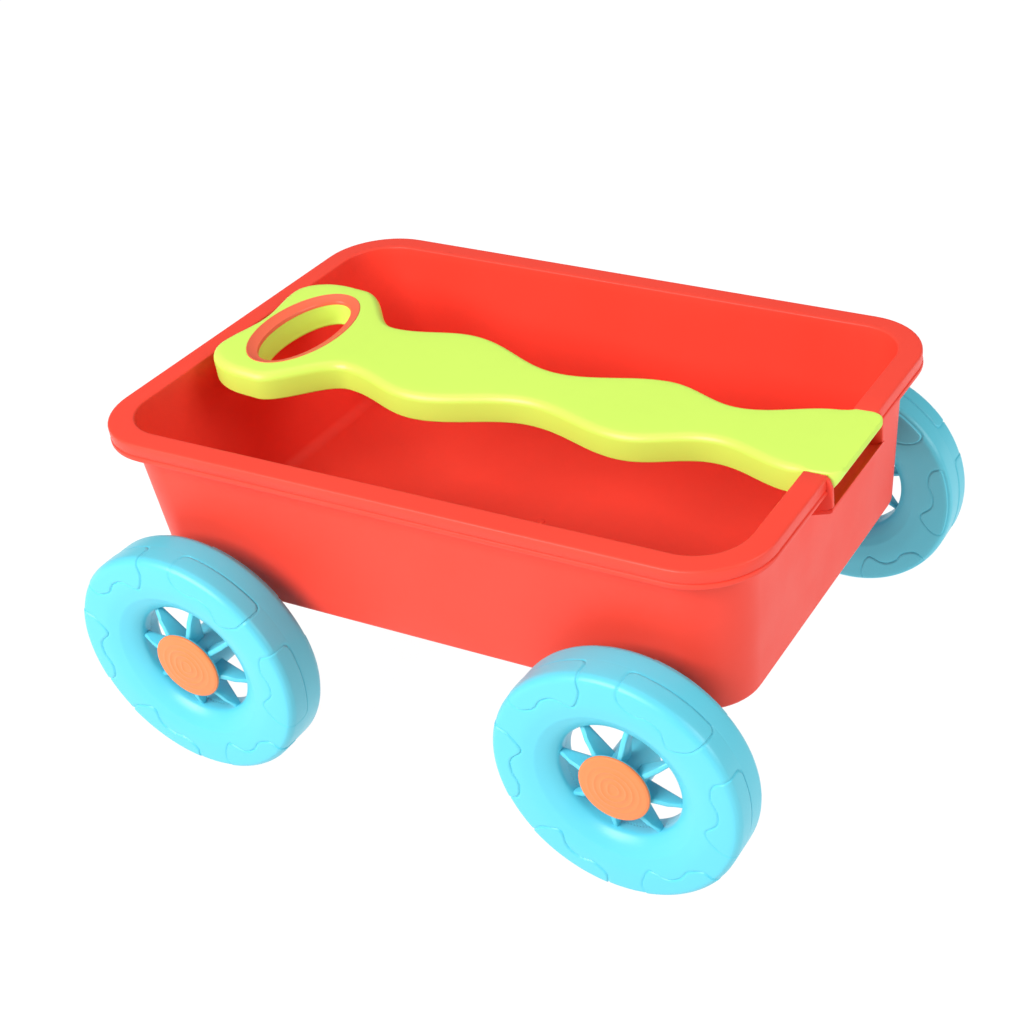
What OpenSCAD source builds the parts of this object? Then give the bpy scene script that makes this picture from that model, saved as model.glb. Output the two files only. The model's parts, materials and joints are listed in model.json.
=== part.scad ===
// Toddler's pull wagon: a low moulded tub on four spoked wheels, with a
// wavy pull handle that folds back over the tub.
// Millimetres. +X is the pulling end, +Z is up, the floor is Z = 0.

/* [Tub] */
// length over the rim
tub_l = 340; // [300:1:400]
// width over the rim
tub_w = 235; // [210:1:290]
// height of the rim above the floor
rim_z = 164.5; // [158:0.5:200]
// depth from rim to underside
tub_h = 84; // [60:0.5:86]
// width of the flat rim
rim_w = 11.3; // [10:0.1:16]
// outside corner radius of the rim
rim_r = 35.5; // [30:0.5:50]
// height of the skirt round the rim
skirt_h = 8.8; // [8:0.1:12]
// wall thickness
wall = 2.4; // [2:0.1:3]
// draft of the walls in degrees
draft = 3; // [1:0.5:5]

/* [Handle] */
// thickness of the handle
handle_t = 14; // [13:0.5:14.5]
// half width of the gap in the rim for the hinge
notch_y = 28.4; // [26:0.1:34]
// half width of the wide bulge nearest the grip
bulge_a = 32; // [24:0.5:40]
// half width of the second bulge
bulge_b = 27.3; // [22:0.5:36]
// half width of the waists
waist = 15.4; // [12:0.2:20]
// half width of the grip head
head_w = 48.5; // [44:0.5:60]
// half size of the hand hole along the handle
hole_a = 13.5; // [12:0.5:15]
// half size of the hand hole across the handle
hole_b = 30.8; // [28:0.2:32]
// width of the coloured ring round the hand hole
ring_w = 7; // [5:0.5:7.5]

/* [Wheels] */
// radius over the tread pads
wheel_r = 60.8; // [58:0.1:64]
// half width of a wheel
wheel_hw = 13.2; // [12:0.2:16]
// inner radius of the wheel's ring
bore_r = 30; // [26:0.5:34]
// distance from mid length to each axle
axle_x = 115.5; // [100:0.5:125]
// distance from the centre line to the middle of a wheel
wheel_y = 130.8; // [130:0.1:140]
// radius of the orange hub cap
cap_r = 17.4; // [15:0.1:20]
// turn of the first spoke, in degrees
spoke_turn = -11; // [-22:1:22]

/* [Hidden] */
axle_r = 3;
fit = 0.05;
in_l = tub_l - 2*rim_w;
in_w = tub_w - 2*rim_w;
in_r = rim_r - rim_w + 1.3;
draft_in = tub_h*tan(draft);
floor_z = rim_z - tub_h;
floor_t = 2.6;
rim_t = 2.4;
plate_t = 2.6;
ledge_t = 4;
box_x = tub_l/2 + 2.4;
box_z = rim_z - 15.4;
pivot_x = tub_l/2 - 4.2;
arch_r = 2380;
arch_x = 53;
pivot_z = rim_z + arch(pivot_x) - handle_t/2;
pin_r = 2;
swing_r = 10.6;
swing_gap = 0.35;
nose_d = 9.3;
retainer_r = 3;
nose_x = pivot_x + nose_d;
skin = 2.6;
head_x = -125;
ring_t = 3.2;
dish_d = 1.6;
dish_low = 1.8;
dish_high = ring_w - 0.3;
taper = 0.14;
tread_r = wheel_r - 0.3;
axle_z = tread_r;
pad_n = 6;
spoke_n = 8;
cap_w = wheel_hw - 1.1;
carrier_y = 80;
carrier_x = 17;
carrier_z = 69;
boss_x = 10;
red = [0.93, 0.22, 0.16];
lime = [0.80, 0.93, 0.30];
orange = [0.98, 0.50, 0.30];
cyan = [0.36, 0.78, 0.88];
steel = [0.72, 0.73, 0.75];

// height of the handle's top face above the rim, along its gentle arch
function arch(x) = -2.1 + (x - arch_x)*(x - arch_x)/(2*arch_r);
function ease(a, b, t) = a + (b - a)*(1 - cos(180*t))/2;
// stations along the shank: [x, half width]
stations = [[-86, 22], [-45, bulge_a], [12, waist], [66, bulge_b], [108, waist], [154, notch_y - 0.9]];
function shank_w(x, i = 0) = x >= stations[5][0] ? stations[5][1]
  : x <= stations[i + 1][0]
  ? ease(stations[i][1], stations[i + 1][1], (x - stations[i][0])/(stations[i + 1][0] - stations[i][0]))
  : shank_w(x, i + 1);
function neck_w(x) = ease(stations[0][1], head_w, (stations[0][0] - x)/35);

// one side of the handle's outline, drawn in by d, from hinge to grip end
function side_points(d) = concat(
  [for (a = [0:15:90]) [nose_x - 8 + (8 - d)*cos(a), notch_y - 8.3 + (8 - d)*sin(a)]],
  [[159.5, notch_y - 0.3 - d]], [for (x = [157.5:-3.9:-85]) [x, shank_w(x) - d]],
  [for (x = [-86:-2.5:-121]) [x, neck_w(x) - d]],
  [for (a = [90:-10:10]) [-130 - (24.3 - d)*cos(a), head_w - 19 + (19 - d)*sin(a)]],
  [for (y = [head_w - 19:-4:3]) [-150.6 - 3.7*(1 - cos(180*y/(head_w - 19)))/2 + d, y]]);
function mirrored(p) = [for (i = [len(p) - 1:-1:0]) [p[i][0], -p[i][1]]];
function oval(a, b) = [for (t = [0:7.5:352.5]) [a*cos(t), b*sin(t)]];

module rounded(l, w, r) {
  square([l - 2*r, w], center = true);
  square([l, w - 2*r], center = true);
  for (x = [-1, 1], y = [-1, 1]) translate([x*(l/2 - r), y*(w/2 - r)]) circle(r, $fn = 64);
}

// tapered tub shape with a rounded bottom edge
module tub_shape(l, w, r, z0, z1, inset, bend) {
  l0 = l - 2*inset; w0 = w - 2*inset; r0 = r - 0.3*inset;
  hull() {
    for (x = [-1, 1], y = [-1, 1]) {
      translate([x*(l/2 - r), y*(w/2 - r), z1 - 0.01]) cylinder(0.01, r, r, $fn = 40);
      for (a = [0, 45, 90])
        translate([x*(l0/2 - r0), y*(w0/2 - r0), z0 + bend*(1 - sin(a))])
          cylinder(0.01, r0 - bend*(1 - cos(a)), r0 - bend*(1 - cos(a)), $fn = 40);
    }
  }
}

module screw_spots() for (x = [-boss_x, boss_x], y = [-54, 54]) translate([x, y, 0]) children();

module tub() color(red) {
  difference() {
    union() {
      difference() {
        tub_shape(in_l + 2*wall, in_w + 2*wall, in_r + wall, floor_z, rim_z, draft_in, 2.5);
        tub_shape(in_l, in_w, in_r, floor_z + floor_t, rim_z + 0.02, draft_in, 5);
      }
      difference() {
        translate([0, 0, rim_z - rim_t]) linear_extrude(rim_t) rounded(tub_l, tub_w, rim_r);
        tub_shape(in_l, in_w, in_r, floor_z + floor_t, rim_z + 0.02, draft_in, 5);
      }
      translate([0, 0, rim_z - skirt_h]) linear_extrude(skirt_h) difference() {
        rounded(tub_l, tub_w, rim_r);
        rounded(tub_l - 4.4, tub_w - 4.4, rim_r - 2.2);
      }
    }
    translate([in_l/2 - 3, -notch_y - 1, box_z - ledge_t]) cube([30, 2*notch_y + 2, 30]);
    for (s = [-1, 1]) translate([pivot_x, s*(notch_y + plate_t + 1.8), pivot_z]) rotate([90, 0, 0])
      cylinder(3.4, retainer_r + 0.25, retainer_r + 0.25, center = true, $fn = 48);
  }
  difference() {
    union() {
      for (s = [-1, 1]) translate([in_l/2 - 1, s*(notch_y + plate_t/2) - plate_t/2, box_z - 2])
        cube([box_x - in_l/2 + 1, plate_t, rim_z - box_z + 2]);
      translate([in_l/2 - 1, -notch_y - 1, box_z - ledge_t]) cube([box_x - in_l/2 + 1, 2*notch_y + 2, ledge_t]);
    }
    translate([pivot_x, 0, pivot_z]) rotate([90, 0, 0]) {
      cylinder(90, pin_r, pin_r, center = true, $fn = 48);
      cylinder(2*notch_y, swing_r + swing_gap, swing_r + swing_gap, center = true, $fn = 96);
    }
  }
  for (e = [-1, 1]) translate([e*axle_x, 0, 0]) screw_spots() difference() {
    translate([0, 0, carrier_z + 3]) cylinder(floor_z - carrier_z - 2.5, 4.5, 4.5, $fn = 48);
    translate([0, 0, carrier_z + 2.9]) cylinder(8, 1.5, 1.5, $fn = 32);
  }
}

// side view of the handle between two depths below its arched top face
module side_band(d0, d1, x0, x1) rotate([90, 0, 0]) linear_extrude(2*head_w + 4, center = true)
  polygon(concat([for (i = [0:24]) let (x = x0 + (x1 - x0)*i/24) [x, rim_z + arch(x) - d0]],
    [for (i = [24:-1:0]) let (x = x0 + (x1 - x0)*i/24) [x, rim_z + arch(x) - d1]]));

module plan(p) translate([0, 0, rim_z - 40]) linear_extrude(70) polygon(p);

module handle_plan(d) plan(concat(side_points(d), mirrored(side_points(d))));

module oval_plan(a, b) translate([head_x, 0, 0]) plan(oval(a, b));

// oval funnel square to the grip's sloping top face, between two depths below it;
// g0 and g1 are how far it stands outside the hand hole at its lower and upper end
module funnel(d0, d1, g0, g1) translate([head_x, 0, rim_z + arch(head_x)])
  rotate([0, atan((arch_x - head_x)/arch_r), 0]) translate([0, 0, -d0])
    linear_extrude(d0 - d1, scale = [(hole_a + g1)/(hole_a + g0), (hole_b + g1)/(hole_b + g0)])
      polygon(oval(hole_a + g0, hole_b + g0));

// hand hole, narrowest at the handle's underside
module hand_hole() funnel(handle_t + 2, -2, -2*taper, (handle_t + 2)*taper);

// shallow dish in the coloured ring's top
module dish() funnel(dish_d, -dish_d, dish_low, 2*dish_high - dish_low);

// hinge end: flat on top, its front edge within swing_r of the pin, cut back beneath
module nose() translate([pivot_x, 0, pivot_z]) rotate([90, 0, 0])
  linear_extrude(2*notch_y, center = true) polygon(concat(
    [for (t = [0:0.25:1]) let (a = asin(handle_t/2/swing_r)*(1 - t) + acos(nose_d/swing_r)*t)
      swing_r*[cos(a), sin(a)]],
    [[nose_d, 4.8], [7.4, 1.5], [4.2, -2.6], [2, -5.2], [-2.5, -handle_t/2], [-4, -handle_t/2],
     [-4, handle_t/2]]));

module handle_body() color(lime) {
  difference() {
    intersection() {
      handle_plan(0);
      union() {
        side_band(0, handle_t, -160, pivot_x);
        nose();
      }
    }
    difference() {
      intersection() {
        handle_plan(skin);
        side_band(skin + 0.2, handle_t + 1, -158, pivot_x - 12);
      }
      oval_plan(hole_a + ring_w + 1.6, hole_b + ring_w + 1.6);
      for (x = [-72, -36, 0, 36, 72, 108, 140]) translate([x - 1, -60, rim_z - 30]) cube([2, 120, 60]);
      translate([-100, -1, rim_z - 30]) cube([260, 2, 60]);
    }
    hand_hole();
    intersection() {
      oval_plan(hole_a + ring_w, hole_b + ring_w);
      side_band(-2, ring_t, -158, -90);
    }
    translate([pivot_x, 0, pivot_z]) rotate([90, 0, 0])
      cylinder(90, pin_r + fit, pin_r + fit, center = true, $fn = 48);
  }
}

module grip_ring() color(orange) difference() {
  intersection() {
    oval_plan(hole_a + ring_w, hole_b + ring_w);
    side_band(0, ring_t, -158, -90);
  }
  hand_hole();
  dish();
}

module hinge_pin() color(steel) translate([pivot_x, 0, pivot_z]) rotate([90, 0, 0])
  cylinder(2*(notch_y + plate_t + 2.4), pin_r, pin_r, center = true, $fn = 48);

module hinge_pin_retainers() color(steel) for (s = [-1, 1])
  translate([pivot_x, s*(notch_y + plate_t + 1.3), pivot_z]) rotate([90, 0, 0]) difference() {
    cylinder(1, retainer_r, retainer_r, center = true, $fn = 48);
    cylinder(2, pin_r, pin_r, center = true, $fn = 48);
  }

module axle(e) color(steel) translate([e*axle_x, 0, axle_z]) rotate([90, 0, 0])
  cylinder(2*(wheel_y + 6.6), axle_r, axle_r, center = true, $fn = 48);

// open box screwed under the floor, with a bearing block at each end
module carrier(e) color(red) translate([e*axle_x, 0, 0]) difference() {
  union() {
    difference() {
      translate([-carrier_x, -carrier_y, carrier_z])
        cube([2*carrier_x, 2*carrier_y, floor_z - carrier_z]);
      translate([-carrier_x + 2.4, -carrier_y + 2.4, carrier_z + 2.7])
        cube([2*carrier_x - 4.8, 2*carrier_y - 4.8, 40]);
    }
    for (s = [-1, 1]) translate([0, s*(carrier_y - 7), 0]) {
      translate([-7, -7, axle_z]) cube([14, 14, carrier_z - axle_z + 1]);
      translate([0, 0, axle_z]) rotate([90, 0, 0]) cylinder(14, 7, 7, center = true, $fn = 64);
    }
    for (s = [-1, 1]) translate([-1.2, s*(carrier_y - 14) - (s > 0 ? 40 : 0), axle_z + 1])
      cube([2.4, 40, carrier_z - axle_z]);
  }
  translate([0, 0, axle_z]) rotate([90, 0, 0]) cylinder(240, axle_r, axle_r, center = true, $fn = 48);
  screw_spots() translate([0, 0, carrier_z - 1]) cylinder(5, 2, 2, $fn = 32);
}

module carrier_screws(e) color(steel) translate([e*axle_x, 0, 0]) screw_spots() {
  difference() {
    translate([0, 0, carrier_z - 2.2]) cylinder(2.2, 3.6, 3.6, $fn = 48);
    for (a = [0, 90]) rotate([0, 0, a]) translate([-2.2, -0.5, carrier_z - 3]) cube([4.4, 1, 1.8]);
  }
  translate([0, 0, carrier_z - 0.1]) cylinder(9.6, 1.5, 1.5, $fn = 32);
}

module axle_spacers(e) color(cyan) for (s = [-1, 1])
  translate([e*axle_x, s*(carrier_y + wheel_y - wheel_hw)/2, axle_z]) rotate([90, 0, 0]) difference() {
    cylinder(wheel_y - wheel_hw - carrier_y - 0.8, 5.4, 5.4, center = true, $fn = 64);
    cylinder(60, axle_r, axle_r, center = true, $fn = 48);
  }

module push_nuts(e) color(steel) for (s = [-1, 1])
  translate([e*axle_x, s*(wheel_y + 5.1), axle_z]) rotate([90, 0, 0]) difference() {
    cylinder(1.2, 6, 6, center = true, $fn = 48);
    cylinder(3, axle_r, axle_r, center = true, $fn = 48);
  }

// puts a part drawn round +Z (its outer side) on the wheel at end e, side s
module on_wheel(e, s) translate([e*axle_x, s*wheel_y, axle_z]) rotate([-90*s, 0, 0]) children();

// half of the ring's section: [radius, distance from the middle plane]
function ring_out(d) = [[bore_r + d, 0], [bore_r + d, wheel_hw - 8.4 - d*0.3],
  [bore_r + 1 + d*0.9, wheel_hw - 6.6 - d*0.6], [bore_r + 4 + d*0.6, wheel_hw - 4 - d*0.9],
  [bore_r + 9 + d*0.3, wheel_hw - 1.3 - d], [bore_r + 15, wheel_hw - 0.2 - d],
  [bore_r + 20, wheel_hw - d], [tread_r - 3.4, wheel_hw - 0.3 - d], [tread_r - 1.4 - d*0.5, wheel_hw - 1.3 - d*0.8],
  [tread_r - 0.3 - d*0.9, wheel_hw - 3 - d*0.5], [tread_r - d, wheel_hw - 5 - d*0.2], [tread_r - d, 0]];

module ring_half() difference() {
  rotate_extrude($fn = 120) polygon(ring_out(0));
  translate([0, 0, -0.01]) rotate_extrude($fn = 120) polygon(ring_out(2.2));
}

// shallow raised pads wrapping from the side over the shoulder to mid tread
module pads() for (i = [0:pad_n - 1]) rotate([0, 0, i*360/pad_n + 1.5 - 20.5])
  rotate_extrude(angle = 41, $fn = 120) polygon([
    [tread_r - 11, wheel_hw - 0.5], [tread_r - 11, wheel_hw + 0.1], [tread_r - 3.4, wheel_hw],
    [tread_r - 1.1, wheel_hw - 1], [tread_r + 0.1, wheel_hw - 2.9], [wheel_r, wheel_hw - 5], [wheel_r, 0.9],
    [tread_r - 0.4, 0.9], [tread_r - 0.6, wheel_hw - 5], [tread_r - 2.4, wheel_hw - 2.6]]);

module spokes() for (i = [0:spoke_n - 1]) rotate([0, 0, spoke_turn + i*360/spoke_n])
  rotate([90, 0, 0]) linear_extrude(2.4, center = true)
    polygon([[8, -2], [bore_r + 0.8, 1.4], [bore_r + 0.8, 4.6], [cap_r - 0.4, cap_w - 3], [8, cap_w - 3]]);

module wheel_outer() color(cyan) difference() {
  union() {
    ring_half();
    pads();
    difference() {
      spokes();
      translate([0, 0, -20]) difference() {
        cylinder(20, 60, 60, $fn = 64);
        cylinder(40, bore_r - 0.3, bore_r - 0.3, $fn = 120, center = true);
      }
    }
    translate([0, 0, -wheel_hw]) cylinder(wheel_hw + cap_w - 3, 10.8, 10.8, $fn = 96);
    translate([0, 0, cap_w - 6]) cylinder(3, 12, cap_r - 0.4, $fn = 96);
    translate([0, 0, cap_w - 3]) cylinder(1, cap_r - 0.4, cap_r - 0.4, $fn = 96);
  }
  translate([0, 0, 4]) cylinder(20, 7.6, 7.6, $fn = 64);
  cylinder(60, axle_r + fit, axle_r + fit, center = true, $fn = 48);
}

module wheel_inner() color(cyan) mirror([0, 0, 1]) {
  ring_half();
  for (i = [0:pad_n - 1]) rotate([0, 0, i*360/pad_n + 1.5 - 20.5])
    rotate_extrude(angle = 41, $fn = 120) polygon([
      [tread_r - 11, wheel_hw - 0.5], [tread_r - 11, wheel_hw + 0.1], [tread_r - 3.4, wheel_hw],
      [tread_r - 3.6, wheel_hw - 1.6]]);
}

module hub_cap() color(orange) {
  translate([0, 0, cap_w - 2]) cylinder(1.7, cap_r, cap_r, $fn = 96);
  for (r = [4, 8, 12, cap_r]) translate([0, 0, cap_w - 0.4]) difference() {
    cylinder(0.4, r, r, $fn = 96);
    translate([0, 0, -1]) cylinder(3, r - 1.6, r - 1.6, $fn = 96);
  }
  translate([0, 0, cap_w - 4.6]) difference() {
    cylinder(2.8, 7.6, 7.6, $fn = 64);
    translate([0, 0, -1]) cylinder(5, 6.2, 6.2, $fn = 64);
  }
}

tub();
handle_body();
grip_ring();
hinge_pin();
hinge_pin_retainers();
axle(1);  // front_axle
axle(-1);  // rear_axle
carrier(1);  // front_axle_carrier
carrier(-1);  // rear_axle_carrier
carrier_screws(1);  // front_carrier_screws
carrier_screws(-1);  // rear_carrier_screws
axle_spacers(1);  // front_axle_spacers
axle_spacers(-1);  // rear_axle_spacers
push_nuts(1);  // front_push_nuts
push_nuts(-1);  // rear_push_nuts
on_wheel(1, -1) wheel_outer();  // wheel_front_right_outer
on_wheel(1, -1) wheel_inner();  // wheel_front_right_inner
on_wheel(1, -1) hub_cap();  // hub_cap_front_right
on_wheel(1, 1) wheel_outer();  // wheel_front_left_outer
on_wheel(1, 1) wheel_inner();  // wheel_front_left_inner
on_wheel(1, 1) hub_cap();  // hub_cap_front_left
on_wheel(-1, -1) wheel_outer();  // wheel_rear_right_outer
on_wheel(-1, -1) wheel_inner();  // wheel_rear_right_inner
on_wheel(-1, -1) hub_cap();  // hub_cap_rear_right
on_wheel(-1, 1) wheel_outer();  // wheel_rear_left_outer
on_wheel(-1, 1) wheel_inner();  // wheel_rear_left_inner
on_wheel(-1, 1) hub_cap();  // hub_cap_rear_left
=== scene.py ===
"""Looks of a toddler's pull wagon: red tub, lime pull handle, four cyan wheels with orange caps."""
import json
import math

import bmesh
import bpy
import numpy as np
from mathutils import Matrix, Vector, geometry


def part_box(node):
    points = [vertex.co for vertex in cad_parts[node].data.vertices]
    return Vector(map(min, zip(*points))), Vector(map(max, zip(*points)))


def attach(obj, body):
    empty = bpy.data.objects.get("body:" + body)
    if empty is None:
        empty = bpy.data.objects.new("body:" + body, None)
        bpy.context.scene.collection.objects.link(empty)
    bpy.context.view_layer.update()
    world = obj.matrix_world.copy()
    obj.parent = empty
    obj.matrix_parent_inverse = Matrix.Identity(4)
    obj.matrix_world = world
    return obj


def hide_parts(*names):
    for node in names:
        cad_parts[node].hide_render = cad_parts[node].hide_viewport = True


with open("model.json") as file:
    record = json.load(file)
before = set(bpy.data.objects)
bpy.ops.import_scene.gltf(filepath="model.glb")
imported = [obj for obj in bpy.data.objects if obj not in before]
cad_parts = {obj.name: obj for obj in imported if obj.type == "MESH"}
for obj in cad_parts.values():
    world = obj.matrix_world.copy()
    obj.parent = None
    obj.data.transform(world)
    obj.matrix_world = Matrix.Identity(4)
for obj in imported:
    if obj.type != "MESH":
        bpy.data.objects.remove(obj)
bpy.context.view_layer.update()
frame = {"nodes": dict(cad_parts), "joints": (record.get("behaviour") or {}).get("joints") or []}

# ---------------------------------------------------------------- dimensions (millimetres)
MM = 0.001
tub_low, tub_high = (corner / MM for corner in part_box("tub"))
HINGE = next(j for j in frame["joints"] if j["name"] == "handle_hinge")
PIVOT_X, _, PIVOT_Z = (value / MM for value in HINGE["pos_m"])

TUB_L = -2 * tub_low.x
TUB_W = 2 * tub_high.y
RIM_Z = tub_high.z
TUB_H = 84.0
FLOOR_T = 2.6
RIM_W = 12.0
RIM_R = 35.5
RIM_T = 2.4
SKIRT_H = 8.8
SKIRT_T = 2.2
WALL = 3.1
DRAFT = math.tan(math.radians(3))
INNER_R = 25.0
BASE_Z = RIM_Z - TUB_H
FLOOR_Z = BASE_Z + FLOOR_T

NOTCH = 28.4
CHEEK_T = 2.6
LEDGE_Z = RIM_Z - 19.4
LEDGE_TOP = RIM_Z - 15.4
LEDGE_X = tub_high.x
CHEEK_BACK = 158.6
BOSS_X, BOSS_Y = 10, 54

HANDLE_T = 14.0
ARCH_X = 53.0
ARCH_R = 2380.0
SWING_R = 10.6
SWING_GAP = 0.35
NOSE_D = 9.3
SKIN = 2.6
HEAD_X = -125.0
HEAD_W = 48.5
HOLE_A, HOLE_B = 13.5, 30.8
RING_W = 7.0
RING_T = 3.2
DISH_D = 1.6
DISH_LOW = 1.8
HOLE_TAPER = 0.14
# half widths of the handle along its length: (x, half width)
STATIONS = [(-86, 22), (-45, 32), (12, 15.4), (66, 27.3), (108, 15.4), (154, NOTCH - 0.9)]

TREAD_R = 60.5
WHEEL_HW = 13.2
BORE_R = 30.0
TREAD_WALL = 2.3
BORE_WALL = 2.2
CAP_R = 17.4
CAP_W = WHEEL_HW - 1.1
PADS = 6
PAD_TURN = 1.5
PAD_HALF = 20.5
PAD_H = 0.28
PAD_GROOVE = 0.55
SPOKES = 8
SPOKE_TURN = -11.0
SPOKE_T = 2.5
SPOKE_EDGE = 1.05

# points round an oval hole or a round hollow
ROUND = 120


# ---------------------------------------------------------------- mesh helpers
def make_mesh(name, shape, material, sharp):
    """A mesh from points in millimetres, smooth but for edges sharper than the given angle."""
    mesh = bpy.data.meshes.new(name)
    mesh.from_pydata((np.asarray(shape.verts, float) * MM).tolist(), [], shape.faces)
    clean_mesh(mesh, sharp)
    mesh.materials.append(material)
    return mesh


def place_piece(name, mesh, body, replaced, matrix=None):
    """Shows a mesh as a piece that rides on a body and replaces CAD nodes."""
    obj = bpy.data.objects.new(name, mesh)
    bpy.context.scene.collection.objects.link(obj)
    if matrix is not None:
        obj.matrix_world = matrix
    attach(obj, body)
    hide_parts(*replaced)
    return obj


def clean_mesh(mesh, sharp):
    """Joins doubled points, turns the faces outwards and marks the sharp edges."""
    work = bmesh.new()
    work.from_mesh(mesh)
    bmesh.ops.remove_doubles(work, verts=work.verts, dist=1e-7)
    bmesh.ops.dissolve_degenerate(work, edges=work.edges, dist=1e-7)
    bmesh.ops.recalc_face_normals(work, faces=work.faces)
    work.to_mesh(mesh)
    work.free()
    mesh.shade_smooth()
    mesh.set_sharp_from_angle(angle=math.radians(sharp))


class Shape:
    """Points and faces gathered from several solids."""

    def __init__(self):
        self.verts = []
        self.faces = []

    def add(self, verts, faces):
        start = len(self.verts)
        self.verts.extend([tuple(map(float, v)) for v in verts])
        self.faces.extend([tuple(start + i for i in face) for face in faces])
        return start

    def ring(self, points):
        start = len(self.verts)
        self.verts.extend([tuple(map(float, v)) for v in points])
        return list(range(start, len(self.verts)))

    def bridge(self, a, b, closed=True):
        count = len(a)
        for i in range(count if closed else count - 1):
            j = (i + 1) % count
            self.faces.append((a[i], a[j], b[j], b[i]))


def lathe(profile, count=96, closed=True):
    """Points and faces of a section of (radius, height) turned round +Z."""
    profile = np.asarray(profile, float)
    turn = np.linspace(0, 2 * np.pi, count, endpoint=False)
    verts = np.stack([
        np.outer(profile[:, 0], np.cos(turn)),
        np.outer(profile[:, 0], np.sin(turn)),
        np.repeat(profile[:, 1:], count, axis=1)], axis=-1).reshape(-1, 3)
    faces = []
    rows = len(profile)
    for i in range(rows if closed else rows - 1):
        k = (i + 1) % rows
        for j in range(count):
            n = (j + 1) % count
            faces.append((i * count + j, i * count + n, k * count + n, k * count + j))
    return verts, faces


def grid_faces(rows, count):
    """Four-sided faces between neighbouring rows of points, each row running once round."""
    grid = np.arange(rows * count).reshape(rows, count)
    onwards = np.roll(grid, -1, axis=1)
    return np.stack([grid[:-1], onwards[:-1], onwards[1:], grid[1:]], axis=-1).reshape(-1, 4).tolist()


def prism(outline, thickness, place, bevel=0.0, segments=3):
    """A plate with rounded edges: outline points (u, v), thickness along w, place maps (u, v, w) to 3-D."""
    work = bmesh.new()
    front = [work.verts.new((u, v, thickness / 2)) for u, v in outline]
    back = [work.verts.new((u, v, -thickness / 2)) for u, v in outline]
    work.faces.new(front)
    work.faces.new(back[::-1])
    count = len(outline)
    for i in range(count):
        j = (i + 1) % count
        work.faces.new((front[j], front[i], back[i], back[j]))
    if bevel:
        bmesh.ops.bevel(work, geom=list(work.edges), offset=bevel, segments=segments,
                        profile=0.5, affect="EDGES", clamp_overlap=True)
    work.verts.index_update()
    verts = [place(*v.co) for v in work.verts]
    faces = [tuple(v.index for v in f.verts) for f in work.faces]
    work.free()
    return verts, faces


def arc(centre, radius, start, end, steps):
    """Points on an arc, angles in degrees."""
    return [(centre[0] + radius * math.cos(math.radians(a)), centre[1] + radius * math.sin(math.radians(a)))
            for a in np.linspace(start, end, steps + 1)]


def loop_normals(points):
    """Outward unit normals of a closed counter-clockwise loop, with the mitre's length."""
    points = np.asarray(points, float)
    before = points - np.roll(points, 1, axis=0)
    after = np.roll(points, -1, axis=0) - points
    before /= np.maximum(np.linalg.norm(before, axis=1, keepdims=True), 1e-9)
    after /= np.maximum(np.linalg.norm(after, axis=1, keepdims=True), 1e-9)
    n0 = np.stack([before[:, 1], -before[:, 0]], axis=1)
    n1 = np.stack([after[:, 1], -after[:, 0]], axis=1)
    mid = n0 + n1
    mid /= np.maximum(np.linalg.norm(mid, axis=1, keepdims=True), 1e-9)
    stretch = 1 / np.maximum((mid * n1).sum(axis=1, keepdims=True), 0.5)
    return mid * stretch


def drawn_in(points, distance):
    return np.asarray(points, float) - distance * loop_normals(points)


def inside(points, loop):
    """Which points lie inside a closed loop."""
    points = np.asarray(points, float)
    loop = np.asarray(loop, float)
    x, y = points[:, 0:1], points[:, 1:2]
    x0, y0 = loop[:, 0], loop[:, 1]
    x1, y1 = np.roll(x0, -1), np.roll(y0, -1)
    crosses = ((y0 > y) != (y1 > y)) & (x < (x1 - x0) * (y - y0) / (y1 - y0 + 1e-12) + x0)
    return crosses.sum(axis=1) % 2 == 1


def fill_between(outer, holes, step, extra=()):
    """Triangles that fill the space between an outer loop and holes, with evenly spaced points inside."""
    outer = np.asarray(outer, float)
    holes = [np.asarray(h, float) for h in holes]
    points = [outer] + holes
    low, high = outer.min(axis=0), outer.max(axis=0)
    grid = np.array([(x, y) for x in np.arange(low[0], high[0], step)
                     for y in np.arange(low[1] + step / 2, high[1], step)] + list(extra))
    keep = inside(grid, drawn_in(outer, step * 0.4))
    for hole in holes:
        keep &= ~inside(grid, drawn_in(hole, -step * 0.4))
    everything = np.concatenate(points + [grid[keep]])
    edges, start = [], 0
    for loop in points:
        count = len(loop)
        edges += [(start + i, start + (i + 1) % count) for i in range(count)]
        start += count
    made = geometry.delaunay_2d_cdt([Vector(p) for p in everything], edges, [], 0, 1e-6)
    verts = np.array([tuple(v) for v in made[0]])
    tris = np.array([tuple(f) for f in made[2]])
    centres = verts[tris].mean(axis=1)
    good = inside(centres, outer)
    for hole in holes:
        good &= ~inside(centres, hole)
    return verts, [tuple(int(i) for i in t) for t in tris[good]]


def ellipse(a, b, count=96, centre=(0.0, 0.0)):
    turn = np.linspace(0, 2 * np.pi, count, endpoint=False)
    return np.stack([centre[0] + a * np.cos(turn), centre[1] + b * np.sin(turn)], axis=1)


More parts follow.
